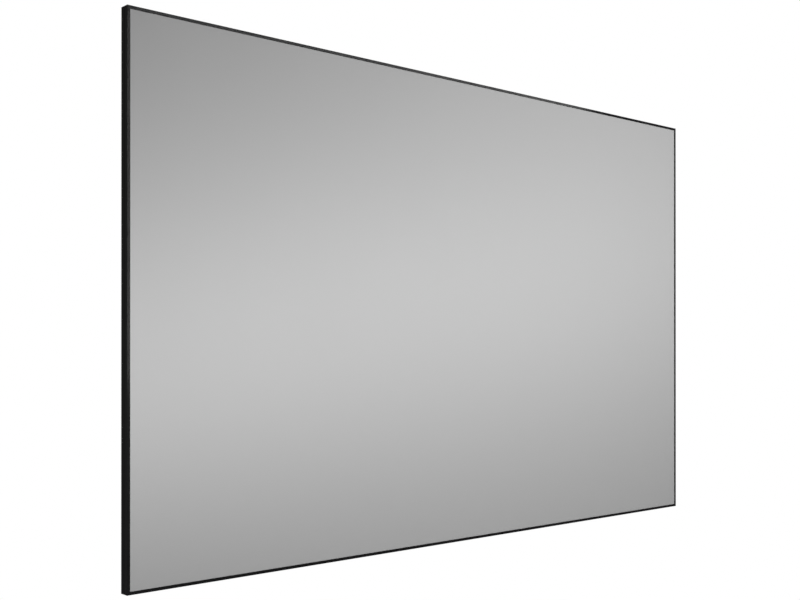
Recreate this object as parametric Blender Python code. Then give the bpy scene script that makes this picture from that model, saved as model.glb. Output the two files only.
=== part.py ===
# A 100 inch 16:10 fixed-frame projector screen with a thin bezel, hung on a wall.
#
# The picture faces -Y, the wall is at +Y, X runs along the screen and Z is up. The origin is at the
# middle of the whole object. Pieces of a side are drawn in that side's own frame: x runs inwards from
# the outer edge, y runs back from the bezel's front face, and z runs along the side.

import bmesh
import bpy
from math import acos, atan2, cos, hypot, pi, radians, sin, tau
from mathutils import Matrix, Vector

# Sizes, in metres.
PICTURE_WIDTH = 2.154
PICTURE_HEIGHT = 1.346
BEZEL_WIDTH = 0.008
FRAME_DEPTH = 0.029
GAP = 0.0003

# Bezel trim.
TRIM_WALL = 0.0012
TRIM_FOOT = 0.0045
TRIM_GROOVE_DEPTH = 0.0005
TRIM_GROOVE_WIDTH = 0.0026
TRIM_CHAMFER = 0.0003

# Film and its border.
FILM_THICKNESS = 0.0005
BORDER_THICKNESS = 0.0005
BORDER_OVERLAP = 0.012
ROD_RADIUS = 0.002
NOTCH_LENGTH = 0.014
NOTCH_MARGIN = 0.001
POCKET_CLEARANCE = 0.003

# Rails.
RAIL_TUBE_WIDTH = 0.014
RAIL_WALL = 0.0014
RAIL_FRONT_RADIUS = 0.002
RAIL_REAR_RADIUS = 0.0015
CHANNEL_WIDTH = 0.0283
LIP_FLANGE = 0.005
HOOK_SLOT = 0.0022
HOOK_LENGTH = 0.0019
RIB_WIDTH = 0.001
RIB_HEIGHT = 0.0012

# Springs.
LONG_SIDE_SPRINGS = 7
SHORT_SIDE_SPRINGS = 4
SPRING_WIRE = 0.001
SPRING_DIAMETER = 0.0062
SPRING_COIL_LENGTH = 0.010
SPRING_TURNS = 6
SPRING_POINTS_PER_TURN = 6
SPRING_LEAD = 0.003
SPRING_RECESS = 0.001
ROD_HOOK_START = radians(-50.0)
ROD_HOOK_END = radians(-290.0)

# Rods.
ROD_END_MARGIN = 0.075
ROD_OVERHANG = 0.006

# Corner brackets and splice plates.
PLATE_THICKNESS = 0.002
PLATE_WIDTH = 0.018
PLATE_CLEARANCE = 0.0011
CORNER_LEG = 0.095
CORNER_HOLES = (0.030, 0.080)
SPLICE_LENGTH = 0.160
SPLICE_HOLES = (0.025, 0.065)
SCREW_HOLE_RADIUS = 0.00215

# Support bar and its brackets.
BAR_WIDTH = 0.030
BAR_DEPTH = 0.015
BAR_WALL = 0.0012
SHOE_WALL = 0.002
SHOE_EAR_LENGTH = 0.030

# Wall brackets.
WALL_BRACKET_OFFSET = 0.600
WALL_BRACKET_LENGTH = 0.080
WALL_BRACKET_THICKNESS = 0.002
TONGUE_LENGTH = 0.008
JOG_ANGLE = radians(50.0)
BEND_RADIUS = 0.0025
WALL_PLATE_HEIGHT = 0.036
WALL_STANDOFF = 0.0005
SLOT_WIDTH = 0.006
SLOT_LENGTH = 0.016
SLOT_SPACING = 0.050

# Places that follow from the sizes.
FRAME_WIDTH = PICTURE_WIDTH + 2 * BEZEL_WIDTH
FRAME_HEIGHT = PICTURE_HEIGHT + 2 * BEZEL_WIDTH
TOTAL_DEPTH = FRAME_DEPTH + WALL_STANDOFF + WALL_BRACKET_THICKNESS
FILM_FRONT = TRIM_WALL + GAP
FILM_BACK = FILM_FRONT + FILM_THICKNESS
FILM_EDGE = TRIM_WALL + GAP + BORDER_THICKNESS + 0.5 * RAIL_FRONT_RADIUS
RAIL_EDGE = TRIM_WALL + BORDER_THICKNESS + 2 * GAP
RAIL_FRONT = FILM_BACK + BORDER_THICKNESS + 2 * GAP
RAIL_REAR = FRAME_DEPTH - TRIM_WALL - BORDER_THICKNESS - 2 * GAP
TUBE_INNER = RAIL_EDGE + RAIL_TUBE_WIDTH
LIP_OUTER = TUBE_INNER + CHANNEL_WIDTH
LIP_INNER = LIP_OUTER + RAIL_WALL
FLANGE_FRONT = RAIL_REAR - RAIL_WALL
HOOK_INNER = LIP_OUTER - HOOK_SLOT
HOOK_OUTER = HOOK_INNER - RAIL_WALL
HOOK_FRONT = FLANGE_FRONT - HOOK_LENGTH
HALF_CHANNEL = 0.5 * (TUBE_INNER + HOOK_OUTER)
PLATE_OUTER = HALF_CHANNEL - 0.5 * PLATE_WIDTH
PLATE_INNER = PLATE_OUTER + PLATE_WIDTH
POCKET_INNER_RADIUS = ROD_RADIUS + GAP
POCKET_OUTER_RADIUS = POCKET_INNER_RADIUS + BORDER_THICKNESS
ROD_INSET = TUBE_INNER + POCKET_CLEARANCE + POCKET_OUTER_RADIUS
SPRING_DEPTH = RAIL_REAR - SPRING_RECESS - 0.5 * SPRING_DIAMETER
PLATE_REAR = SPRING_DEPTH - POCKET_OUTER_RADIUS - PLATE_CLEARANCE
PLATE_DEPTH = PLATE_REAR - 0.5 * PLATE_THICKNESS
FLOOR_REAR = PLATE_REAR - PLATE_THICKNESS - GAP
FLOOR_FRONT = FLOOR_REAR - RAIL_WALL
BAR_FRONT = FLANGE_FRONT - GAP - BAR_DEPTH
SHOE_BASE_INNER = LIP_INNER + GAP + SHOE_WALL
TONGUE_MIDDLE = FLANGE_FRONT - GAP - 0.5 * WALL_BRACKET_THICKNESS
PLATE_MIDDLE = TOTAL_DEPTH - 0.5 * WALL_BRACKET_THICKNESS
TONGUE_TOP = LIP_INNER + GAP
TONGUE_BEND = TONGUE_TOP + TONGUE_LENGTH
JOG_BENDS = 2 * BEND_RADIUS * (1.0 - cos(JOG_ANGLE))
JOG_STRAIGHT = (PLATE_MIDDLE - TONGUE_MIDDLE - JOG_BENDS) / sin(JOG_ANGLE)
PLATE_BEND = TONGUE_BEND + 2 * BEND_RADIUS * sin(JOG_ANGLE) + JOG_STRAIGHT * cos(JOG_ANGLE)
PLATE_END = PLATE_BEND + WALL_PLATE_HEIGHT
SIDE_TURNS = {"left": 0.0, "top": 0.5 * pi, "right": pi, "bottom": -0.5 * pi}
CORNER_TURNS = {"bottom_left": 0.0, "top_left": 0.5 * pi, "top_right": pi, "bottom_right": -0.5 * pi}

PARTS = "projector_screen"
CUTTERS = "cutters"


def clear_scene():
    for thing in list(bpy.data.objects):
        bpy.data.objects.remove(thing, do_unlink=True)


def collection(name):
    made = bpy.data.collections.new(name)
    bpy.context.scene.collection.children.link(made)
    return made


def material(name, colour, roughness, metallic):
    made = bpy.data.materials.new(name)
    made.use_nodes = True
    shader = made.node_tree.nodes["Principled BSDF"]
    shader.inputs["Base Color"].default_value = (*colour, 1.0)
    shader.inputs["Roughness"].default_value = roughness
    shader.inputs["Metallic"].default_value = metallic
    made.diffuse_color = (*colour, 1.0)
    return made


def arc(centre, radius, start, end, steps):
    """Points along an arc, both ends included; angles in radians."""
    angles = [start + (end - start) * step / steps for step in range(steps + 1)]
    return [(centre[0] + radius * cos(angle), centre[1] + radius * sin(angle)) for angle in angles]


def side_length(side):
    return FRAME_WIDTH if side in ("top", "bottom") else FRAME_HEIGHT


def spring_places(side):
    """Places of a side's springs along it, evenly spaced about its middle."""
    count = LONG_SIDE_SPRINGS if side in ("top", "bottom") else SHORT_SIDE_SPRINGS
    spacing = side_length(side) / (count + 1)
    return [spacing * (index - 0.5 * (count - 1)) for index in range(count)]


def side_frame(side):
    """An empty at the middle of a side's outer front edge, with x inwards and z along the side."""
    frame = bpy.data.objects.new(side + "_side", None)
    bpy.data.collections[PARTS].objects.link(frame)
    frame.rotation_euler.y = SIDE_TURNS[side]
    reach = 0.5 * (FRAME_HEIGHT if side in ("top", "bottom") else FRAME_WIDTH)
    inwards = Matrix.Rotation(SIDE_TURNS[side], 3, "Y") @ Vector((1.0, 0.0, 0.0))
    frame.location = -reach * inwards
    frame.location.y = -0.5 * TOTAL_DEPTH
    return frame


def corner_frame(corner):
    """An empty at an outer front corner, with x and z both inwards."""
    frame = bpy.data.objects.new(corner + "_corner", None)
    bpy.data.collections[PARTS].objects.link(frame)
    frame.rotation_euler.y = CORNER_TURNS[corner]
    frame.location.x = 0.5 * FRAME_WIDTH * (1 if "right" in corner else -1)
    frame.location.y = -0.5 * TOTAL_DEPTH
    frame.location.z = 0.5 * FRAME_HEIGHT * (1 if "top" in corner else -1)
    return frame


def place(name, mesh, finish, parent=None, location=(0.0, 0.0, 0.0), group=PARTS):
    thing = bpy.data.objects.new(name, mesh)
    bpy.data.collections[group].objects.link(thing)
    thing.parent = parent
    thing.location = location
    if finish and not mesh.materials:
        mesh.materials.append(finish)
    return thing


def mesh_of_curve(name, curve):
    """The closed mesh that a curve makes, with its caps welded on."""
    guide = bpy.data.objects.new(name, curve)
    bpy.context.scene.collection.objects.link(guide)
    graph = bpy.context.evaluated_depsgraph_get()
    mesh = bpy.data.meshes.new_from_object(guide.evaluated_get(graph))
    bpy.data.objects.remove(guide)
    bpy.data.curves.remove(curve)
    shell = bmesh.new()
    shell.from_mesh(mesh)
    bmesh.ops.remove_doubles(shell, verts=shell.verts, dist=0.000001)
    shell.to_mesh(mesh)
    shell.free()
    return mesh


def extruded(name, loops, length):
    """A flat outline, with any holes, extruded along z about z = 0."""
    curve = bpy.data.curves.new(name, "CURVE")
    curve.dimensions = "2D"
    curve.fill_mode = "BOTH"
    curve.extrude = 0.5 * length
    for loop in loops:
        spline = curve.splines.new("POLY")
        spline.points.add(len(loop) - 1)
        spline.use_cyclic_u = True
        for point, (x, y) in zip(spline.points, loop):
            point.co = (x, y, 0.0, 1.0)
    return mesh_of_curve(name, curve)


def lay_flat(mesh, depth):
    """Turns an extruded outline's plane from x-y to x-z, centred at a depth."""
    mesh.transform(Matrix.Translation((0.0, depth, 0.0)) @ Matrix.Rotation(0.5 * pi, 4, "X"))


def mitre(mesh, low=True, high=True):
    """Slides an extrusion's end points back by their distance from the outer edge."""
    for vertex in mesh.vertices:
        if high and vertex.co.z > 0.0:
            vertex.co.z += -vertex.co.x - 0.5 * GAP
        elif low and vertex.co.z < 0.0:
            vertex.co.z += vertex.co.x + 0.5 * GAP
    mesh.update()


def shade(mesh, angle=35.0):
    mesh.shade_smooth()
    mesh.set_sharp_from_angle(angle=radians(angle))


def cut(thing, name, cutter_mesh, parent=None, location=(0.0, 0.0, 0.0)):
    cutter = place(name, cutter_mesh, None, parent, location, CUTTERS)
    cutter.hide_render = True
    cutter.display_type = "WIRE"
    boolean = thing.modifiers.new(name, "BOOLEAN")
    boolean.operation = "DIFFERENCE"
    boolean.object = cutter


def boxes(name, spans):
    """One mesh of boxes, each given by its lowest and highest corner."""
    shell = bmesh.new()
    for low, high in spans:
        low = Vector(low)
        high = Vector(high)
        made = bmesh.ops.create_cube(shell, size=1.0)
        bmesh.ops.scale(shell, vec=high - low, verts=made["verts"])
        bmesh.ops.translate(shell, vec=0.5 * (low + high), verts=made["verts"])
    mesh = bpy.data.meshes.new(name)
    shell.to_mesh(mesh)
    shell.free()
    return mesh


def build_film(finish):
    """The flat projection film; its edge lies under the bezel's lip."""
    half_width = 0.5 * FRAME_WIDTH - FILM_EDGE
    half_height = 0.5 * FRAME_HEIGHT - FILM_EDGE
    front = -0.5 * TOTAL_DEPTH + FILM_FRONT
    low = (-half_width, front, -half_height)
    high = (half_width, front + FILM_THICKNESS, half_height)
    place("screen_film", boxes("screen_film", [(low, high)]), finish)


def trim_outline():
    """A channel that snaps round the wrapped rail: lip, side with a fine groove, and rear foot."""
    foot_front = FRAME_DEPTH - TRIM_WALL
    middle = 0.5 * FRAME_DEPTH
    half_groove = 0.5 * TRIM_GROOVE_WIDTH
    half_floor = half_groove - TRIM_GROOVE_DEPTH
    return [
        (TRIM_CHAMFER, 0.0),
        (BEZEL_WIDTH - TRIM_CHAMFER, 0.0),
        (BEZEL_WIDTH, TRIM_CHAMFER),
        (BEZEL_WIDTH, TRIM_WALL),
        (TRIM_WALL, TRIM_WALL),
        (TRIM_WALL, foot_front),
        (TRIM_FOOT, foot_front),
        (TRIM_FOOT, FRAME_DEPTH - TRIM_CHAMFER),
        (TRIM_FOOT - TRIM_CHAMFER, FRAME_DEPTH),
        (TRIM_CHAMFER, FRAME_DEPTH),
        (0.0, FRAME_DEPTH - TRIM_CHAMFER),
        (0.0, middle + half_groove),
        (TRIM_GROOVE_DEPTH, middle + half_floor),
        (TRIM_GROOVE_DEPTH, middle - half_floor),
        (0.0, middle - half_groove),
        (0.0, TRIM_CHAMFER),
    ]


def build_trim(side, frame, finish):
    length = side_length(side)
    mesh = extruded("bezel_trim_" + side, [trim_outline()], length)
    mitre(mesh)
    place("bezel_trim_" + side, mesh, finish, frame)


def border_outline():
    """The border's section: from behind the film, round the rail's tube and into the rod pocket."""
    half = 0.5 * BORDER_THICKNESS
    wrap = GAP + half
    front_radius = RAIL_FRONT_RADIUS + wrap
    rear_radius = RAIL_REAR_RADIUS + wrap
    front_corner = (RAIL_EDGE + RAIL_FRONT_RADIUS, RAIL_FRONT + RAIL_FRONT_RADIUS)
    rear_corner = (RAIL_EDGE + RAIL_REAR_RADIUS, RAIL_REAR - RAIL_REAR_RADIUS)
    inner_corner = (TUBE_INNER - RAIL_REAR_RADIUS, RAIL_REAR - RAIL_REAR_RADIUS)
    rod = (ROD_INSET, SPRING_DEPTH)

    # The strip leaves the tube's inner rear corner along the line that touches both round forms.
    pocket_middle = POCKET_INNER_RADIUS + half
    across = hypot(rod[0] - inner_corner[0], rod[1] - inner_corner[1])
    slope = atan2(rod[1] - inner_corner[1], rod[0] - inner_corner[0])
    leave = slope + acos((rear_radius - pocket_middle) / across)
    join = leave + acos(POCKET_INNER_RADIUS / POCKET_OUTER_RADIUS)

    outer = [(FILM_EDGE + BORDER_OVERLAP, RAIL_FRONT - wrap - half)]
    outer += arc(front_corner, front_radius + half, -0.5 * pi, -pi, 4)
    outer += arc(rear_corner, rear_radius + half, pi, 0.5 * pi, 3)
    outer += arc(inner_corner, rear_radius + half, 0.5 * pi, leave, 1)
    outer += arc(rod, POCKET_OUTER_RADIUS, leave, join - tau, 8)
    inner = [(FILM_EDGE + BORDER_OVERLAP, RAIL_FRONT - wrap + half)]
    inner += arc(front_corner, front_radius - half, -0.5 * pi, -pi, 4)
    inner += arc(rear_corner, rear_radius - half, pi, 0.5 * pi, 3)
    inner += arc(inner_corner, rear_radius - half, 0.5 * pi, leave, 1)
    pocket = arc(rod, POCKET_INNER_RADIUS, 0.0, tau, 10)[:-1]
    return [outer + inner[::-1], pocket]


def build_border(side, frame, finish):
    """A border strip, its pocket notched at each spring and cut back at the corners."""
    length = side_length(side)
    mesh = extruded("border_" + side, border_outline(), length)
    mitre(mesh)
    shade(mesh)
    strip = place("border_" + side, mesh, finish, frame)
    reach = 0.5 * length
    spans = [(spot - 0.5 * NOTCH_LENGTH, spot + 0.5 * NOTCH_LENGTH) for spot in spring_places(side)]
    spans.append((-reach, ROD_END_MARGIN - reach))
    spans.append((reach - ROD_END_MARGIN, reach))
    outer_edge = ROD_INSET - POCKET_OUTER_RADIUS - NOTCH_MARGIN
    inner_edge = ROD_INSET + POCKET_OUTER_RADIUS + NOTCH_MARGIN
    cutters = [
        ((outer_edge, FLOOR_REAR + GAP, low), (inner_edge, FRAME_DEPTH + GAP, high))
        for low, high in spans
    ]
    cut(strip, "notches_" + side, boxes("notches_" + side, cutters), frame)


def build_rod(side, frame, finish):
    """A tension rod in the border's pocket, a little longer than the pocket."""
    length = side_length(side) - 2 * (ROD_END_MARGIN - ROD_OVERHANG)
    shell = bmesh.new()
    bmesh.ops.create_cone(
        shell, cap_ends=True, segments=12, radius1=ROD_RADIUS, radius2=ROD_RADIUS, depth=length
    )
    mesh = bpy.data.meshes.new("tension_rod_" + side)
    shell.to_mesh(mesh)
    shell.free()
    shade(mesh)
    place("tension_rod_" + side, mesh, finish, frame, (ROD_INSET, SPRING_DEPTH, 0.0))


def rail_outline():
    """The rail's section: tube, channel floor with two ribs, and lip with spring hook and flange."""
    front_corner = (RAIL_EDGE + RAIL_FRONT_RADIUS, RAIL_FRONT + RAIL_FRONT_RADIUS)
    rear_corner = (RAIL_EDGE + RAIL_REAR_RADIUS, RAIL_REAR - RAIL_REAR_RADIUS)
    inner_corner = (TUBE_INNER - RAIL_REAR_RADIUS, RAIL_REAR - RAIL_REAR_RADIUS)
    rib_top = FLOOR_REAR + RIB_HEIGHT
    inner_rib = PLATE_INNER + GAP
    outer_rib = PLATE_OUTER - GAP
    outline = arc(front_corner, RAIL_FRONT_RADIUS, -pi, -0.5 * pi, 4)
    outline += [
        (TUBE_INNER, RAIL_FRONT),
        (TUBE_INNER, FLOOR_FRONT),
        (LIP_INNER, FLOOR_FRONT),
        (LIP_INNER, FLANGE_FRONT),
        (LIP_INNER + LIP_FLANGE, FLANGE_FRONT),
        (LIP_INNER + LIP_FLANGE, RAIL_REAR),
        (HOOK_OUTER, RAIL_REAR),
        (HOOK_OUTER, HOOK_FRONT),
        (HOOK_INNER, HOOK_FRONT),
        (HOOK_INNER, FLANGE_FRONT),
        (LIP_OUTER, FLANGE_FRONT),
        (LIP_OUTER, FLOOR_REAR),
        (inner_rib + RIB_WIDTH, FLOOR_REAR),
        (inner_rib + RIB_WIDTH, rib_top),
        (inner_rib, rib_top),
        (inner_rib, FLOOR_REAR),
        (outer_rib, FLOOR_REAR),
        (outer_rib, rib_top),
        (outer_rib - RIB_WIDTH, rib_top),
        (outer_rib - RIB_WIDTH, FLOOR_REAR),
        (TUBE_INNER, FLOOR_REAR),
    ]
    outline += arc(inner_corner, RAIL_REAR_RADIUS, 0.0, 0.5 * pi, 3)
    outline += arc(rear_corner, RAIL_REAR_RADIUS, 0.5 * pi, pi, 3)
    hollow = [
        (RAIL_EDGE + RAIL_WALL, RAIL_FRONT + RAIL_WALL),
        (TUBE_INNER - RAIL_WALL, RAIL_FRONT + RAIL_WALL),
        (TUBE_INNER - RAIL_WALL, RAIL_REAR - RAIL_WALL),
        (RAIL_EDGE + RAIL_WALL, RAIL_REAR - RAIL_WALL),
    ]
    return [outline, hollow]


def build_short_rail(side, frame, finish):
    length = side_length(side)
    mesh = extruded("rail_" + side, rail_outline(), length)
    mitre(mesh)
    shade(mesh)
    place("rail_" + side, mesh, finish, frame)


def build_long_rail(side, frame, finish):
    """A long side ships in two lengths, which meet square at its middle."""
    half = 0.5 * (side_length(side) - GAP)
    low_name, high_name = ("left", "right") if side == "top" else ("right", "left")
    for end, low, high in ((low_name, True, False), (high_name, False, True)):
        name = "rail_" + side + "_" + end
        mesh = extruded(name, rail_outline(), half)
        mitre(mesh, low, high)
        shade(mesh)
        middle = 0.5 * (half + GAP) * (1 if high else -1)
        place(name, mesh, finish, frame, (0.0, 0.0, middle))


def spring_mesh():
    """A tension spring: hook round the rod, open coil, and end turned up behind the lip's hook."""
    half_wire = 0.5 * SPRING_WIRE
    rod_hook = ROD_RADIUS + GAP + half_wire
    coil_radius = 0.5 * (SPRING_DIAMETER - SPRING_WIRE)
    seat = HOOK_INNER + GAP + half_wire
    coil_start = ROD_INSET + rod_hook + SPRING_LEAD
    coil_end = coil_start + SPRING_COIL_LENGTH
    around_rod = arc((ROD_INSET, SPRING_DEPTH), rod_hook, ROD_HOOK_START, ROD_HOOK_END, 8)
    points = [(x, y, 0.0) for x, y in around_rod]
    steps = int((SPRING_TURNS + 0.5) * SPRING_POINTS_PER_TURN)
    for step in range(steps + 1):
        turn = 0.25 * tau + tau * step / SPRING_POINTS_PER_TURN
        along = coil_start + (coil_end - coil_start) * step / steps
        points.append((along, SPRING_DEPTH + coil_radius * sin(turn), coil_radius * cos(turn)))
    under_hook = HOOK_FRONT - 2 * GAP - half_wire
    points.append((HOOK_OUTER - SPRING_WIRE, under_hook - GAP, 0.0))
    points.append((HOOK_INNER - GAP, under_hook - GAP, 0.0))
    points.append((seat, under_hook + half_wire, 0.0))
    points.append((seat, FLANGE_FRONT - GAP - half_wire, 0.0))

    curve = bpy.data.curves.new("tension_spring", "CURVE")
    curve.dimensions = "3D"
    curve.bevel_depth = half_wire
    curve.bevel_resolution = 0
    curve.use_fill_caps = True
    spline = curve.splines.new("POLY")
    spline.points.add(len(points) - 1)
    for point, spot in zip(spline.points, points):
        point.co = (*spot, 1.0)
    mesh = mesh_of_curve("tension_spring", curve)
    shade(mesh, 60.0)
    return mesh


def build_springs(side, frame, finish, mesh):
    for number, spot in enumerate(spring_places(side), start=1):
        place(f"tension_spring_{side}_{number}", mesh, finish, frame, (0.0, 0.0, spot))


def screw_hole(x, y):
    return arc((x, y), SCREW_HOLE_RADIUS, 0.0, tau, 8)[:-1]


def build_corner_bracket(corner, frame, finish):
    """An L plate between the ribs of the channel floors, across the mitre."""
    outline = [
        (PLATE_OUTER, PLATE_OUTER),
        (PLATE_OUTER + CORNER_LEG, PLATE_OUTER),
        (PLATE_OUTER + CORNER_LEG, PLATE_INNER),
        (PLATE_INNER, PLATE_INNER),
        (PLATE_INNER, PLATE_OUTER + CORNER_LEG),
        (PLATE_OUTER, PLATE_OUTER + CORNER_LEG),
    ]
    line = 0.5 * (PLATE_OUTER + PLATE_INNER)
    holes = [screw_hole(PLATE_OUTER + reach, line) for reach in CORNER_HOLES]
    holes += [screw_hole(line, PLATE_OUTER + reach) for reach in CORNER_HOLES]
    mesh = extruded("corner_bracket_" + corner, [outline, *holes], PLATE_THICKNESS)
    lay_flat(mesh, PLATE_DEPTH)
    place("corner_bracket_" + corner, mesh, finish, frame)


def build_splice_plate(side, frame, finish):
    """A flat plate between the ribs, across the joint of a long side's two rails."""
    half = 0.5 * SPLICE_LENGTH
    outline = [(PLATE_OUTER, -half), (PLATE_INNER, -half), (PLATE_INNER, half), (PLATE_OUTER, half)]
    line = 0.5 * (PLATE_OUTER + PLATE_INNER)
    holes = [screw_hole(line, sign * reach) for sign in (-1, 1) for reach in SPLICE_HOLES]
    mesh = extruded("splice_plate_" + side, [outline, *holes], PLATE_THICKNESS)
    lay_flat(mesh, PLATE_DEPTH)
    place("splice_plate_" + side, mesh, finish, frame)


def build_support_bar(finish):
    """An upright rectangular tube behind the film, from bracket to bracket."""
    length = FRAME_HEIGHT - 2 * (SHOE_BASE_INNER + GAP)
    half_width = 0.5 * BAR_WIDTH
    outer = [(-half_width, 0.0), (half_width, 0.0), (half_width, BAR_DEPTH), (-half_width, BAR_DEPTH)]
    inner = [
        (-half_width + BAR_WALL, BAR_WALL),
        (half_width - BAR_WALL, BAR_WALL),
        (half_width - BAR_WALL, BAR_DEPTH - BAR_WALL),
        (-half_width + BAR_WALL, BAR_DEPTH - BAR_WALL),
    ]
    mesh = extruded("support_bar", [outer, inner], length)
    place("support_bar", mesh, finish, None, (0.0, BAR_FRONT - 0.5 * TOTAL_DEPTH, 0.0))


def build_bar_bracket(side, frame, finish):
    """A U-shaped shoe against the rail's lip; its ears hold the bar's end."""
    base_outer = LIP_INNER + GAP
    ear_inner = 0.5 * BAR_WIDTH + GAP
    ear_outer = ear_inner + SHOE_WALL
    ear_end = SHOE_BASE_INNER + SHOE_EAR_LENGTH
    outline = [
        (base_outer, -ear_outer),
        (ear_end, -ear_outer),
        (ear_end, -ear_inner),
        (SHOE_BASE_INNER, -ear_inner),
        (SHOE_BASE_INNER, ear_inner),
        (ear_end, ear_inner),
        (ear_end, ear_outer),
        (base_outer, ear_outer),
    ]
    mesh = extruded("bar_bracket_" + side, [outline], BAR_DEPTH)
    lay_flat(mesh, BAR_FRONT + 0.5 * BAR_DEPTH)
    place("bar_bracket_" + side, mesh, finish, frame)


def wall_bracket_outline():
    """A bent strip: tongue in front of the lip's flange, jog, and plate on the wall."""
    half = 0.5 * WALL_BRACKET_THICKNESS
    first = (TONGUE_BEND, TONGUE_MIDDLE + BEND_RADIUS)
    second = (PLATE_BEND, PLATE_MIDDLE - BEND_RADIUS)
    front = [(TONGUE_TOP, TONGUE_MIDDLE - half)]
    front += arc(first, BEND_RADIUS + half, -0.5 * pi, -0.5 * pi + JOG_ANGLE, 3)
    front += arc(second, BEND_RADIUS - half, 0.5 * pi + JOG_ANGLE, 0.5 * pi, 3)
    front += [(PLATE_END, PLATE_MIDDLE - half)]
    back = [(TONGUE_TOP, TONGUE_MIDDLE + half)]
    back += arc(first, BEND_RADIUS - half, -0.5 * pi, -0.5 * pi + JOG_ANGLE, 3)
    back += arc(second, BEND_RADIUS + half, 0.5 * pi + JOG_ANGLE, 0.5 * pi, 3)
    back += [(PLATE_END, PLATE_MIDDLE + half)]
    return front + back[::-1]


def slot_cutter(name):
    """Two slots with round ends, long along the side's inward direction."""
    radius = 0.5 * SLOT_WIDTH
    middle = 0.5 * (PLATE_BEND + PLATE_END)
    straight = 0.5 * SLOT_LENGTH - radius
    shell = bmesh.new()
    for spot in (-0.5 * SLOT_SPACING, 0.5 * SLOT_SPACING):
        outline = arc((middle + straight, spot), radius, -0.5 * pi, 0.5 * pi, 6)
        outline += arc((middle - straight, spot), radius, 0.5 * pi, 1.5 * pi, 6)
        slot = extruded(name, [outline], 3 * WALL_BRACKET_THICKNESS)
        lay_flat(slot, PLATE_MIDDLE)
        shell.from_mesh(slot)
        bpy.data.meshes.remove(slot)
    mesh = bpy.data.meshes.new(name)
    shell.to_mesh(mesh)
    shell.free()
    return mesh


def build_wall_brackets(side, frame, finish):
    for end, sign in (("left", -1), ("right", 1)):
        name = "wall_bracket_" + side + "_" + end
        direction = sign if side == "top" else -sign
        spot = (0.0, 0.0, direction * WALL_BRACKET_OFFSET)
        mesh = extruded(name, [wall_bracket_outline()], WALL_BRACKET_LENGTH)
        bracket = place(name, mesh, finish, frame, spot)
        cutter_name = "slots_" + side + "_" + end
        cut(bracket, cutter_name, slot_cutter(cutter_name), frame, spot)


def build_screen():
    clear_scene()
    collection(PARTS)
    collection(CUTTERS)

    film_grey = material("film_grey", (0.48, 0.48, 0.48), 0.55, 0.0)
    satin_black = material("satin_black", (0.012, 0.012, 0.013), 0.38, 0.0)
    border_black = material("border_black", (0.010, 0.010, 0.010), 0.70, 0.0)
    rail_black = material("rail_black", (0.030, 0.030, 0.032), 0.45, 0.0)
    rod_white = material("rod_white", (0.62, 0.62, 0.58), 0.50, 0.0)
    spring_steel = material("spring_steel", (0.55, 0.55, 0.56), 0.30, 1.0)
    zinc_steel = material("zinc_steel", (0.52, 0.53, 0.54), 0.42, 1.0)
    bar_aluminium = material("bar_aluminium", (0.60, 0.61, 0.62), 0.38, 1.0)
    bracket_black = material("bracket_black", (0.020, 0.020, 0.021), 0.50, 0.0)

    build_film(film_grey)
    spring = spring_mesh()
    for side in SIDE_TURNS:
        frame = side_frame(side)
        build_trim(side, frame, satin_black)
        build_border(side, frame, border_black)
        build_rod(side, frame, rod_white)
        build_springs(side, frame, spring_steel, spring)
        if side in ("left", "right"):
            build_short_rail(side, frame, rail_black)
        else:
            build_long_rail(side, frame, rail_black)
            build_splice_plate(side, frame, zinc_steel)
            build_bar_bracket(side, frame, zinc_steel)
            build_wall_brackets(side, frame, bracket_black)
    for corner in CORNER_TURNS:
        build_corner_bracket(corner, corner_frame(corner), zinc_steel)
    build_support_bar(bar_aluminium)


build_screen()
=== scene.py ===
from math import cos, hypot, pi, radians, sin, tau

import bmesh
import bpy
from mathutils import Matrix, Vector


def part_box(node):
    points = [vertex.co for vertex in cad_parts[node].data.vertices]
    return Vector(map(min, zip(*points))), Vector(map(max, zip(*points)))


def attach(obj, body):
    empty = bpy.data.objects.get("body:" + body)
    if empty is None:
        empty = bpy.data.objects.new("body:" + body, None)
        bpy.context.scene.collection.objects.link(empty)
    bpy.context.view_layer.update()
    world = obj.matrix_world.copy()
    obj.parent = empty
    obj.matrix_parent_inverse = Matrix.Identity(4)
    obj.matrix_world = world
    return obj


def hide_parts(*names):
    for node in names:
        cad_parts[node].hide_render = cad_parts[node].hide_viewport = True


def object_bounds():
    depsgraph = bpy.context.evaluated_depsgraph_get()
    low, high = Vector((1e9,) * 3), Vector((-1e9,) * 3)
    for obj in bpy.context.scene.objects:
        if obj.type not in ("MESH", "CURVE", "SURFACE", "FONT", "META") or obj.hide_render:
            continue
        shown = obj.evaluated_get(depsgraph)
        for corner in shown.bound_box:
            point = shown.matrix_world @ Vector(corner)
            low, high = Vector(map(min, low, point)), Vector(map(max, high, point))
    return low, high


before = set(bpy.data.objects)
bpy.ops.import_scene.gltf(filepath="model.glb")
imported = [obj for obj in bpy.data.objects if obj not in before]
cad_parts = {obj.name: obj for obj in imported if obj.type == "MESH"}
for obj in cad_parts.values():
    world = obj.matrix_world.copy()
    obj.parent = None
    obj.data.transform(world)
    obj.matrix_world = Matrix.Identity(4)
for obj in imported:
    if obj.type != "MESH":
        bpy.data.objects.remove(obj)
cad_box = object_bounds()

# The rails. Black anodised aluminium extrusions, mitred at the corners; each long side is two
# lengths that meet at its middle. The die leaves fine lines along every length.
SIDES = ("top", "bottom", "left", "right")
RAIL_BLACK = (0.022, 0.022, 0.024)
DIE_LINES_PER_METRE = 2600.0
DIE_CHANGES_PER_METRE = 3.0
DIE_LINE_HEIGHT = 0.00002
METAL_CLOUDS_PER_METRE = 14.0


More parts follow.
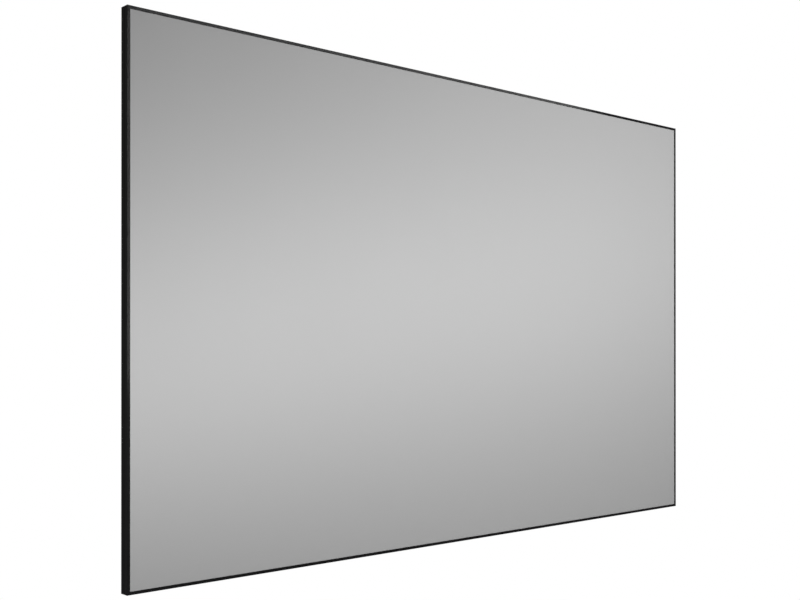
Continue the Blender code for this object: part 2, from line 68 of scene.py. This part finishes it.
def new_finish(name, colour, roughness, metallic=0.0, specular=0.5):
    """A material with its shader's plain values set, and its node tree and shader."""
    made = bpy.data.materials.new(name)
    made.use_nodes = True
    tree = made.node_tree
    shader = tree.nodes["Principled BSDF"]
    shader.inputs["Base Color"].default_value = (*colour, 1.0)
    shader.inputs["Roughness"].default_value = roughness
    shader.inputs["Metallic"].default_value = metallic
    shader.inputs["Specular IOR Level"].default_value = specular
    return made, tree, shader


def grain(tree, scale, detail=3.0, roughness=0.5):
    """Noise on the piece's own coordinates; scale is cycles a metre, one for all axes or three."""
    place = tree.nodes.new("ShaderNodeTexCoord")
    stretch = tree.nodes.new("ShaderNodeMapping")
    if not isinstance(scale, tuple):
        scale = (scale, scale, scale)
    stretch.inputs["Scale"].default_value = scale
    noise = tree.nodes.new("ShaderNodeTexNoise")
    noise.inputs["Scale"].default_value = 1.0
    noise.inputs["Detail"].default_value = detail
    noise.inputs["Roughness"].default_value = roughness
    tree.links.new(place.outputs["Object"], stretch.inputs["Vector"])
    tree.links.new(stretch.outputs["Vector"], noise.inputs["Vector"])
    return noise.outputs["Fac"]


def spread(tree, source, low, high, start=0.3, end=0.7):
    """A texture's middle range, spread from low to high."""
    ramp = tree.nodes.new("ShaderNodeMapRange")
    ramp.inputs["From Min"].default_value = start
    ramp.inputs["From Max"].default_value = end
    ramp.inputs["To Min"].default_value = low
    ramp.inputs["To Max"].default_value = high
    tree.links.new(source, ramp.inputs["Value"])
    return ramp.outputs["Result"]


def blend(tree, source, first, second):
    """A colour between two, each a plain tone or a socket, by a texture."""
    mix = tree.nodes.new("ShaderNodeMix")
    mix.data_type = "RGBA"
    tree.links.new(source, mix.inputs[0])
    for socket, colour in ((mix.inputs[6], first), (mix.inputs[7], second)):
        if hasattr(colour, "links"):
            tree.links.new(colour, socket)
        else:
            socket.default_value = (*colour, 1.0)
    return mix.outputs[2]


def relief(tree, shader, source, height, strength=1.0):
    """Raises the surface by a texture; height is in metres."""
    bump = tree.nodes.new("ShaderNodeBump")
    bump.inputs["Strength"].default_value = strength
    bump.inputs["Distance"].default_value = height
    tree.links.new(source, bump.inputs["Height"])
    tree.links.new(bump.outputs["Normal"], shader.inputs["Normal"])


def tone(colour, factor):
    """The same colour, lighter or darker."""
    return tuple(channel * factor for channel in colour)


def tint(tree, shader, source, colour, dark, light):
    """Varies the surface between a darker and a lighter tone of its colour by a texture."""
    share = spread(tree, source, 0.0, 1.0)
    varied = blend(tree, share, tone(colour, dark), tone(colour, light))
    tree.links.new(varied, shader.inputs["Base Color"])


def vary_roughness(tree, shader, source, low, high):
    """Varies the surface's roughness between two values by a texture."""
    tree.links.new(spread(tree, source, low, high), shader.inputs["Roughness"])


def extruded_finish(
    name, colour, along, roughness=0.42, metallic=0.0, specular=0.3, die_height=DIE_LINE_HEIGHT
):
    """Drawn metal: fine die lines that run along x or z."""
    made, tree, shader = new_finish(name, colour, roughness, metallic, specular)
    across = DIE_LINES_PER_METRE
    if along == "x":
        lines = (DIE_CHANGES_PER_METRE, across, across)
    else:
        lines = (across, across, DIE_CHANGES_PER_METRE)
    cloud = grain(tree, METAL_CLOUDS_PER_METRE)
    die = grain(tree, lines, detail=2.0)
    tint(tree, shader, cloud, colour, 0.82, 1.2)
    vary_roughness(tree, shader, die, roughness - 0.06, roughness + 0.08)
    relief(tree, shader, die, die_height, 0.5)
    return made


def dress(node, made):
    """Gives a node of the frame its finish; its mesh and place stay as they are."""
    thing = bpy.data.objects[node]
    if thing.data.materials:
        thing.data.materials[0] = made
    else:
        thing.data.materials.append(made)
    return thing


rail_finish = {
    "x": extruded_finish("rail_anodised_level", RAIL_BLACK, "x"),
    "z": extruded_finish("rail_anodised_upright", RAIL_BLACK, "z"),
}
for end in ("left", "right"):
    dress("rail_top_" + end, rail_finish["x"])
    dress("rail_bottom_" + end, rail_finish["x"])
    dress("rail_" + end, rail_finish["z"])

# The corner brackets and splice plates. Zinc-plated steel plates that lie between the ribs of the
# rails' channel and join the rails, each held by button-head screws with a hexagon socket.
ZINC = (0.50, 0.51, 0.52)
ZINC_CRYSTALS_PER_METRE = 420.0
ZINC_CLOUDS_PER_METRE = 60.0
ZINC_CRYSTAL_HEIGHT = 0.00001
SCREW_STEEL = (0.42, 0.42, 0.43)
HEAD_RADIUS = 0.0036
HEAD_TAPER = 0.72
HEAD_HEIGHT = 0.0021
HEAD_ROUNDING = 0.0007
SOCKET_LAND = 0.0003
SOCKET_RADIUS = 0.0014
SOCKET_DEPTH = 0.0012
HEAD_SIDES = 24
SHARP_FROM_DEGREES = 35.0


def plated_finish(name, colour, roughness):
    """Zinc plating: bright, with a faint crystal mottle."""
    made, tree, shader = new_finish(name, colour, roughness, 1.0)
    mottle = grain(tree, ZINC_CRYSTALS_PER_METRE, detail=4.0)
    cloud = grain(tree, ZINC_CLOUDS_PER_METRE)
    tint(tree, shader, mottle, colour, 0.86, 1.1)
    vary_roughness(tree, shader, cloud, roughness - 0.08, roughness + 0.1)
    relief(tree, shader, mottle, ZINC_CRYSTAL_HEIGHT, 0.4)
    return made


def new_piece(name, shell, made):
    """A finished piece of the scene, at the origin, riding with the frame."""
    mesh = bpy.data.meshes.new(name)
    bmesh.ops.recalc_face_normals(shell, faces=shell.faces)
    shell.to_mesh(mesh)
    shell.free()
    mesh.shade_smooth()
    mesh.set_sharp_from_angle(angle=radians(SHARP_FROM_DEGREES))
    mesh.materials.append(made)
    piece = bpy.data.objects.new(name, mesh)
    bpy.context.scene.collection.objects.link(piece)
    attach(piece, "root")
    return piece


def add_screw(shell, seat, outwards):
    """A button head on its seat, its axis pointing outwards, with a hexagon socket."""
    turn = Vector((0.0, 0.0, 1.0)).rotation_difference(Vector(outwards)).to_matrix().to_4x4()
    head = bmesh.new()
    bmesh.ops.create_cone(
        head,
        cap_ends=True,
        segments=HEAD_SIDES,
        radius1=HEAD_RADIUS,
        radius2=HEAD_TAPER * HEAD_RADIUS,
        depth=HEAD_HEIGHT,
    )
    head.faces.ensure_lookup_table()
    top = max(head.faces, key=lambda face: face.calc_center_median().z)
    bmesh.ops.bevel(
        head,
        geom=list(top.edges),
        offset=HEAD_ROUNDING,
        segments=3,
        profile=0.5,
        affect="EDGES",
        material=-1,
    )
    top = max(head.faces, key=lambda face: face.calc_center_median().z)
    bmesh.ops.inset_individual(head, faces=[top], thickness=SOCKET_LAND)
    for vert in top.verts:
        across = hypot(vert.co.x, vert.co.y)
        share = (Vector(vert.co.xy).angle_signed(Vector((1.0, 0.0))) % (pi / 3)) - pi / 6
        reach = SOCKET_RADIUS * cos(pi / 6) / cos(share)
        vert.co.x *= reach / across
        vert.co.y *= reach / across
    floor = bmesh.ops.extrude_discrete_faces(head, faces=[top])["faces"][0]
    bmesh.ops.translate(head, verts=floor.verts, vec=(0.0, 0.0, -SOCKET_DEPTH))
    lift = Matrix.Translation((0.0, 0.0, 0.5 * HEAD_HEIGHT))
    bmesh.ops.transform(head, matrix=Matrix.Translation(seat) @ turn @ lift, verts=head.verts)
    mesh = bpy.data.meshes.new("screw_head")
    head.to_mesh(mesh)
    head.free()
    shell.from_mesh(mesh)
    bpy.data.meshes.remove(mesh)


zinc_finish = plated_finish("zinc_plating", ZINC, 0.38)
screw_finish = plated_finish("screw_steel", SCREW_STEEL, 0.3)
CORNER_HOLES = (0.030, 0.080)
SPLICE_HOLES = (-0.065, -0.025, 0.025, 0.065)
PLATE_HALF_WIDTH = 0.009

for corner in ("top_left", "top_right", "bottom_left", "bottom_right"):
    dress("corner_bracket_" + corner, zinc_finish)
    low, high = (Vector(spot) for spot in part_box("corner_bracket_" + corner))
    right = 1 if "right" in corner else -1
    up = 1 if "top" in corner else -1
    elbow = Vector((high.x if right > 0 else low.x, high.y, high.z if up > 0 else low.z))
    screws = bmesh.new()
    for reach in CORNER_HOLES:
        level = elbow + Vector((-right * reach, 0.0, -up * PLATE_HALF_WIDTH))
        upright = elbow + Vector((-right * PLATE_HALF_WIDTH, 0.0, -up * reach))
        add_screw(screws, level, (0.0, 1.0, 0.0))
        add_screw(screws, upright, (0.0, 1.0, 0.0))
    new_piece("corner_screws_" + corner, screws, screw_finish)

for side in ("top", "bottom"):
    dress("splice_plate_" + side, zinc_finish)
    low, high = (Vector(spot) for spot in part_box("splice_plate_" + side))
    screws = bmesh.new()
    for reach in SPLICE_HOLES:
        add_screw(screws, (reach, high.y, 0.5 * (low.z + high.z)), (0.0, 1.0, 0.0))
    new_piece("splice_screws_" + side, screws, screw_finish)

# The support bar and its brackets. A mill-finish aluminium tube keeps the long rails apart; a bent
# steel shoe at each end holds it against the rail's lip, with a screw through each ear.
BAR_ALUMINIUM = (0.60, 0.61, 0.62)

dress("support_bar", extruded_finish("bar_mill_finish", BAR_ALUMINIUM, "z", 0.34, 1.0, 0.5))
for side in ("top", "bottom"):
    dress("bar_bracket_" + side, zinc_finish)
    low, high = (Vector(spot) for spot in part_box("bar_bracket_" + side))
    middle = Vector((0.0, 0.5 * (low.y + high.y), 0.5 * (low.z + high.z)))
    screws = bmesh.new()
    add_screw(screws, (low.x, middle.y, middle.z), (-1.0, 0.0, 0.0))
    add_screw(screws, (high.x, middle.y, middle.z), (1.0, 0.0, 0.0))
    new_piece("bar_screws_" + side, screws, screw_finish)

# The projection film. A soft grey optical sheet of PVC with a black back, welded to the border
# strips and drawn flat by the springs; its face has level ridges too fine to see from a step away.
FILM_GREY = (0.25, 0.25, 0.25)
FILM_BACK_BLACK = (0.020, 0.020, 0.021)
FILM_ROUGHNESS = 0.6
RIDGES_PER_METRE = 1400.0
RIDGE_HEIGHT = 0.00002
SPECKLES_PER_METRE = 2600.0
FILM_CLOUDS_PER_METRE = 2.4


def film_material():
    """A matt grey face and a black back, told apart by depth."""
    made, tree, shader = new_finish("film_matte_grey", FILM_GREY, FILM_ROUGHNESS, 0.0, 0.15)
    place = tree.nodes.new("ShaderNodeTexCoord")
    ridges = tree.nodes.new("ShaderNodeTexWave")
    ridges.wave_type = "BANDS"
    ridges.bands_direction = "Z"
    ridges.inputs["Scale"].default_value = RIDGES_PER_METRE / tau
    tree.links.new(place.outputs["Object"], ridges.inputs["Vector"])
    speckle = spread(tree, grain(tree, SPECKLES_PER_METRE, detail=2.0), 0.0, 1.0)
    cloud = grain(tree, FILM_CLOUDS_PER_METRE, detail=2.0)
    face = blend(tree, speckle, tone(FILM_GREY, 0.975), tone(FILM_GREY, 1.025))
    back = blend(tree, speckle, tone(FILM_BACK_BLACK, 0.8), tone(FILM_BACK_BLACK, 1.3))
    low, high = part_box("screen_film")
    depth = tree.nodes.new("ShaderNodeSeparateXYZ")
    tree.links.new(place.outputs["Object"], depth.inputs["Vector"])
    behind = tree.nodes.new("ShaderNodeMath")
    behind.operation = "GREATER_THAN"
    behind.inputs[1].default_value = 0.5 * (low[1] + high[1])
    tree.links.new(depth.outputs["Y"], behind.inputs[0])
    tree.links.new(blend(tree, behind.outputs["Value"], face, back), shader.inputs["Base Color"])
    vary_roughness(tree, shader, cloud, FILM_ROUGHNESS - 0.03, FILM_ROUGHNESS + 0.03)
    relief(tree, shader, ridges.outputs["Fac"], RIDGE_HEIGHT, 0.15)
    return made


film = dress("screen_film", film_material())

# The border strips. Black coated fabric, welded behind the film's edge, folded round the rail and
# back on itself at the rear as a pocket for the rod, with a notch at each spring.
BORDER_BLACK = (0.010, 0.010, 0.010)
THREADS_PER_METRE = 1500.0
THREAD_HEIGHT = 0.00006
BORDER_CLOUDS_PER_METRE = 90.0


def border_material():
    """Coated fabric: the weave shows faintly through the skin."""
    made, tree, shader = new_finish("border_coated_fabric", BORDER_BLACK, 0.62, 0.0, 0.25)
    place = tree.nodes.new("ShaderNodeTexCoord")
    heights = []
    for direction in ("X", "Z"):
        threads = tree.nodes.new("ShaderNodeTexWave")
        threads.wave_type = "BANDS"
        threads.bands_direction = direction
        threads.inputs["Scale"].default_value = THREADS_PER_METRE / tau
        tree.links.new(place.outputs["Object"], threads.inputs["Vector"])
        heights.append(threads.outputs["Fac"])
    weave = tree.nodes.new("ShaderNodeMath")
    weave.operation = "MULTIPLY"
    tree.links.new(heights[0], weave.inputs[0])
    tree.links.new(heights[1], weave.inputs[1])
    cloud = grain(tree, BORDER_CLOUDS_PER_METRE)
    tint(tree, shader, cloud, BORDER_BLACK, 0.7, 1.5)
    vary_roughness(tree, shader, cloud, 0.56, 0.7)
    relief(tree, shader, weave.outputs["Value"], THREAD_HEIGHT, 0.6)
    return made


border_finish = border_material()
for side in SIDES:
    dress("border_" + side, border_finish)
low, high = (Vector(spot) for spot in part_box("screen_film"))

# The tension rods. Pale fibreglass, drawn through the pockets; the glass strands run lengthwise.
ROD_PALE = (0.60, 0.60, 0.55)

rod_finish = {
    "x": extruded_finish("rod_glass_level", ROD_PALE, "x", 0.45, 0.0, 0.5),
    "z": extruded_finish("rod_glass_upright", ROD_PALE, "z", 0.45, 0.0, 0.5),
}
for side in SIDES:
    dress("tension_rod_" + side, rod_finish["x" if side in ("top", "bottom") else "z"])

# The tension springs. Bright wire, wound on a mandrel and drawn a little open; one end hooks round
# the rod in its notch, the other turns up behind the hook of the rail's lip and pulls the border
# tight.
SPRING_BRIGHT = (0.56, 0.56, 0.57)
SPRINGS = {"top": 7, "bottom": 7, "left": 4, "right": 4}
WIRE_RADIUS = 0.0005
WIRE_SIDES = 10
COIL_RADIUS = 0.0026
COIL_TURNS = 6
STEPS_PER_TURN = 20
ROD_HOOK_DEGREES = range(-50, -291, -12)
FIT_GAP = 0.0003
SPRING_LEAD = 0.003
SPRING_COIL_LENGTH = 0.010
HOOK_SLOT = 0.0022
HOOK_LENGTH = 0.0019
LIP_BEND = 0.0008
RAIL_WALL = 0.0014
SIDE_TURNS = {"left": 0.0, "top": 0.5 * pi, "right": pi, "bottom": -0.5 * pi}


def wire_path(rod, rod_radius, lip, flange_front):
    """The wire's middle line, from the rod inwards; x runs inwards, y back and z along the rail."""
    hook = rod_radius + FIT_GAP + WIRE_RADIUS
    path = [
        Vector((rod.x + hook * cos(radians(angle)), rod.y + hook * sin(radians(angle)), 0.0))
        for angle in ROD_HOOK_DEGREES
    ]
    start = rod.x + hook + SPRING_LEAD
    steps = int((COIL_TURNS + 0.5) * STEPS_PER_TURN)
    for step in range(steps + 1):
        turn = 0.25 * tau + tau * step / STEPS_PER_TURN
        along = start + SPRING_COIL_LENGTH * step / steps
        path.append(Vector((along, rod.y + COIL_RADIUS * sin(turn), COIL_RADIUS * cos(turn))))
    hook_inner = lip - HOOK_SLOT
    under = flange_front - HOOK_LENGTH - 3 * FIT_GAP - WIRE_RADIUS
    seat = hook_inner + FIT_GAP + WIRE_RADIUS
    path.append(Vector((hook_inner - RAIL_WALL - 2 * WIRE_RADIUS, under, 0.0)))
    path.append(Vector((hook_inner - FIT_GAP, under, 0.0)))
    path.append(Vector((seat - 0.25 * LIP_BEND, under + 0.375 * LIP_BEND, 0.0)))
    path.append(Vector((seat, under + LIP_BEND, 0.0)))
    path.append(Vector((seat, flange_front - FIT_GAP - WIRE_RADIUS, 0.0)))
    return path


def sweep_wire(shell, path, radius, sides):
    """Extrudes a round section along a path, turning it square to the path at each point."""
    section = bmesh.ops.create_circle(shell, cap_ends=True, segments=sides, radius=radius)["verts"]
    heading = Vector((0.0, 0.0, 1.0))
    spot = Vector((0.0, 0.0, 0.0))
    ring = list({edge for vert in section for edge in vert.link_edges})
    for index, target in enumerate(path):
        before = path[max(index - 1, 0)]
        after = path[min(index + 1, len(path) - 1)]
        ahead = (after - before).normalized()
        if index > 0:
            grown = bmesh.ops.extrude_edge_only(shell, edges=ring)["geom"]
            section = [item for item in grown if isinstance(item, bmesh.types.BMVert)]
            ring = [item for item in grown if isinstance(item, bmesh.types.BMEdge)]
        turn = heading.rotation_difference(ahead).to_matrix().to_4x4()
        move = Matrix.Translation(target) @ turn @ Matrix.Translation(-spot)
        bmesh.ops.transform(shell, matrix=move, verts=section)
        heading = ahead
        spot = target
    bmesh.ops.contextual_create(shell, geom=ring)


spring_finish = extruded_finish("spring_wire", SPRING_BRIGHT, "x", 0.26, 1.0)
for side in SIDES:
    turn = Matrix.Rotation(SIDE_TURNS[side], 4, "Y")
    rod_low, rod_high = (Vector(spot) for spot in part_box("tension_rod_" + side))
    rod_middle = turn.inverted() @ (0.5 * (rod_low + rod_high))
    rod_radius = 0.5 * (rod_high.y - rod_low.y)
    for number in range(1, SPRINGS[side] + 1):
        node = f"tension_spring_{side}_{number}"
        low, high = (turn.inverted() @ Vector(spot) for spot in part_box(node))
        inner_end = max(low.x, high.x)
        rear = max(low.y, high.y)
        lip = inner_end - FIT_GAP - 2 * WIRE_RADIUS + HOOK_SLOT
        path = wire_path(rod_middle, rod_radius, lip, rear + FIT_GAP)
        shell = bmesh.new()
        sweep_wire(shell, path, WIRE_RADIUS, WIRE_SIDES)
        place = turn @ Matrix.Translation((0.0, 0.0, 0.5 * (low.z + high.z)))
        bmesh.ops.transform(shell, matrix=place, verts=shell.verts)
        spring = new_piece(f"spring_{side}_{number}", shell, spring_finish)
        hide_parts(node)

# The bezel trim. Four channels of satin black anodised aluminium, mitred at the corners and snapped
# over the wrapped rail: a lip covers the film's edge, the side has a fine groove along its middle,
# and a foot turns in at the rear. It is brushed finer than the rails, so its die lines barely show.
TRIM_BLACK = (0.0065, 0.0065, 0.0067)

trim_look = {"roughness": 0.1, "specular": 0.01, "die_height": 0.000006}
trim_finish = {
    "x": extruded_finish("trim_satin_level", TRIM_BLACK, "x", **trim_look),
    "z": extruded_finish("trim_satin_upright", TRIM_BLACK, "z", **trim_look),
}
for side in SIDES:
    dress("bezel_trim_" + side, trim_finish["x" if side in ("top", "bottom") else "z"])

# The wall brackets. Bent steel with a black powder coat, hooked into the rail's lip and screwed to
# the wall through two slots.
POWDER_BLACK = (0.018, 0.018, 0.019)
PEEL_PER_METRE = 1100.0
PEEL_HEIGHT = 0.00005
POWDER_CLOUDS_PER_METRE = 70.0


def powder_material():
    """Powder coat: a fine orange peel and a faint unevenness of tone."""
    made, tree, shader = new_finish("powder_coat", POWDER_BLACK, 0.5, 0.0, 0.4)
    peel = grain(tree, PEEL_PER_METRE, detail=2.0)
    cloud = grain(tree, POWDER_CLOUDS_PER_METRE)
    tint(tree, shader, cloud, POWDER_BLACK, 0.8, 1.3)
    vary_roughness(tree, shader, peel, 0.42, 0.58)
    relief(tree, shader, peel, PEEL_HEIGHT, 0.6)
    return made


powder_finish = powder_material()
for side in ("top", "bottom"):
    for end in ("left", "right"):
        dress("wall_bracket_" + side + "_" + end, powder_finish)

# The studio. The screen hangs over a pale floor that fades to white. A long soft lamp runs close
# along its face, an upright and a level strip stand where the bezel's front mirrors them to the
# camera, and one lights the back.
FLOOR_DROP = 0.75
FLOOR_RADIUS = 2.9
FLOOR_SIDES = 96
FADE_START = 0.45
FADE_END = 0.9
FLOOR_PALE = (0.80, 0.80, 0.80)
AMBIENT = 0.12
CAMERA_PLACE = (-2.2976, -2.3302, -0.1094)
CAMERA_YAW = 41.564
CAMERA_PITCH = 0.092
SENSOR_WIDTH = 36.0
LENS = 49.572
SHIFT_Y = 0.0572


def white_to_camera(tree, lit, strength_to_eye):
    """Mixes a surface or sky with plain white where the camera or a reflection looks at it."""
    path = tree.nodes.new("ShaderNodeLightPath")
    seen = tree.nodes.new("ShaderNodeMath")
    seen.operation = "MAXIMUM"
    tree.links.new(path.outputs["Is Camera Ray"], seen.inputs[0])
    tree.links.new(path.outputs["Is Glossy Ray"], seen.inputs[1])
    either = tree.nodes.new("ShaderNodeMath")
    either.operation = "MAXIMUM"
    tree.links.new(seen.outputs["Value"], either.inputs[0])
    tree.links.new(path.outputs["Is Transmission Ray"], either.inputs[1])
    share = tree.nodes.new("ShaderNodeMath")
    share.operation = "MULTIPLY"
    tree.links.new(either.outputs["Value"], share.inputs[0])
    if hasattr(strength_to_eye, "links"):
        tree.links.new(strength_to_eye, share.inputs[1])
    else:
        share.inputs[1].default_value = strength_to_eye
    mix = tree.nodes.new("ShaderNodeMixShader")
    tree.links.new(share.outputs["Value"], mix.inputs["Fac"])
    tree.links.new(lit, mix.inputs[1])
    return mix


def floor_material():
    """A pale matt floor that keeps the shadow and turns to plain white towards its rim."""
    made = bpy.data.materials.new("studio_floor")
    made.use_nodes = True
    tree = made.node_tree
    shader = tree.nodes["Principled BSDF"]
    shader.inputs["Base Color"].default_value = (*FLOOR_PALE, 1.0)
    shader.inputs["Roughness"].default_value = 0.9
    shader.inputs["Specular IOR Level"].default_value = 0.0
    place = tree.nodes.new("ShaderNodeTexCoord")
    flat = tree.nodes.new("ShaderNodeVectorMath")
    flat.operation = "MULTIPLY"
    flat.inputs[1].default_value = (1.0, 1.0, 0.0)
    tree.links.new(place.outputs["Object"], flat.inputs[0])
    reach = tree.nodes.new("ShaderNodeVectorMath")
    reach.operation = "LENGTH"
    tree.links.new(flat.outputs["Vector"], reach.inputs[0])
    fade = tree.nodes.new("ShaderNodeMapRange")
    fade.interpolation_type = "SMOOTHSTEP"
    fade.inputs["From Min"].default_value = FADE_START * FLOOR_RADIUS
    fade.inputs["From Max"].default_value = FADE_END * FLOOR_RADIUS
    tree.links.new(reach.outputs["Value"], fade.inputs["Value"])
    white = tree.nodes.new("ShaderNodeEmission")
    white.inputs["Strength"].default_value = 1.0
    mix = white_to_camera(tree, shader.outputs["BSDF"], fade.outputs["Result"])
    tree.links.new(white.outputs["Emission"], mix.inputs[2])
    tree.links.new(mix.outputs["Shader"], tree.nodes["Material Output"].inputs["Surface"])
    return made


def white_world():
    """A weak even fill that looks white to the camera and in reflections."""
    world = bpy.data.worlds.new("studio")
    bpy.context.scene.world = world
    world.use_nodes = True
    tree = world.node_tree
    fill = tree.nodes["Background"]
    fill.inputs["Color"].default_value = (1.0, 1.0, 1.0, 1.0)
    fill.inputs["Strength"].default_value = AMBIENT
    white = tree.nodes.new("ShaderNodeBackground")
    white.inputs["Color"].default_value = (1.0, 1.0, 1.0, 1.0)
    white.inputs["Strength"].default_value = 1.0
    mix = white_to_camera(tree, fill.outputs["Background"], 1.0)
    tree.links.new(white.outputs["Background"], mix.inputs[2])
    tree.links.new(mix.outputs["Shader"], tree.nodes["World Output"].inputs["Surface"])


def soft_lamp(name, place, aim, size, power, along=(1.0, 0.0, 0.0)):
    """A rectangular lamp that faces a point, with its long side along a direction."""
    data = bpy.data.lights.new(name, "AREA")
    data.shape = "RECTANGLE"
    data.size, data.size_y = size
    data.energy = power
    lamp = bpy.data.objects.new(name, data)
    bpy.context.scene.collection.objects.link(lamp)
    back = (Vector(place) - Vector(aim)).normalized()
    level = Vector(along)
    level = (level - level.dot(back) * back).normalized()
    turn = Matrix((level, back.cross(level), back)).transposed()
    lamp.matrix_world = Matrix.Translation(place) @ turn.to_4x4()
    lamp.visible_camera = False


floor_shell = bmesh.new()
bmesh.ops.create_circle(floor_shell, cap_ends=True, segments=FLOOR_SIDES, radius=FLOOR_RADIUS)
floor_level = cad_box[0][2] - FLOOR_DROP
bmesh.ops.translate(floor_shell, verts=floor_shell.verts, vec=(0.0, 0.0, floor_level))
floor_mesh = bpy.data.meshes.new("studio_floor")
floor_shell.to_mesh(floor_mesh)
floor_shell.free()
floor_mesh.materials.append(floor_material())
floor = bpy.data.objects.new("studio_floor", floor_mesh)
bpy.context.scene.collection.objects.link(floor)
white_world()

soft_lamp(
    "long_lamp",
    place=(-0.02, -0.852, 0.028),
    aim=(0.089, -0.014, 0.063),
    size=(3.6, 0.35),
    power=24.0,
    along=(0.986, 0.059, 0.156),
)
soft_lamp(
    "edge_lamp",
    place=(0.285, -2.614, 0.64),
    aim=(0.285, -0.014, 0.64),
    size=(0.1, 1.8),
    power=33.0,
)
soft_lamp(
    "top_lamp",
    place=(2.05, -2.614, 1.56),
    aim=(2.05, -0.014, 0.0),
    size=(3.5, 0.1),
    power=61.0,
)
soft_lamp(
    "back_lamp",
    place=(0.6, 2.6, 1.3),
    aim=(0.0, 0.016, 0.0),
    size=(2.6, 1.6),
    power=46.0,
)

camera_data = bpy.data.cameras.new("camera")
camera_data.sensor_width = SENSOR_WIDTH
camera_data.lens = LENS
camera_data.shift_y = SHIFT_Y
camera = bpy.data.objects.new("camera", camera_data)
bpy.context.scene.collection.objects.link(camera)
camera.location = CAMERA_PLACE
camera.rotation_euler = (radians(90.0 + CAMERA_PITCH), 0.0, radians(-CAMERA_YAW))
bpy.context.scene.camera = camera
bpy.context.scene.view_settings.view_transform = "Standard"
